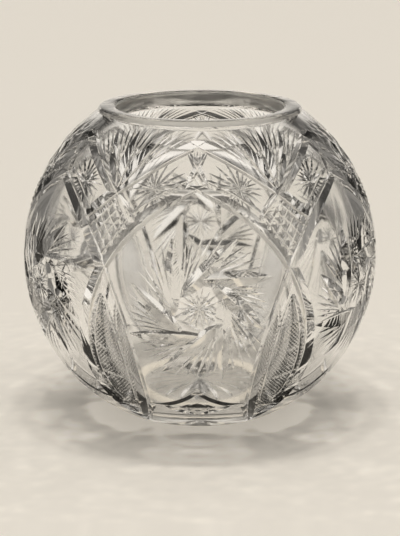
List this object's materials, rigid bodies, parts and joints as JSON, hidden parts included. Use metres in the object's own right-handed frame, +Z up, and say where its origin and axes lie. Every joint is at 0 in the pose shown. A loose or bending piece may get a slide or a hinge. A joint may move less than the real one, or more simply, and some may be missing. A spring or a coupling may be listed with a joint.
{
  "type": "rose bowl vase",
  "caption": "Ball-shaped bowl vase of clear cut crystal with an open mouth, a flat base and V-cut mitres in a repeating pattern of pointed arches, pinwheels, stars and hatched ovals.",
  "frame": {"origin": "centre of the base, on the plane that the bowl stands on", "axes": "+Z up along the bowl's axis, -Y towards the front, where a pinwheel panel faces the viewer"},
  "size_m": [0.18, 0.18, 0.1564],
  "materials": {
    "crystal": "polished"
  },
  "bodies": {
    "root": {"bowl": "crystal"}
  },
  "joints": []
}
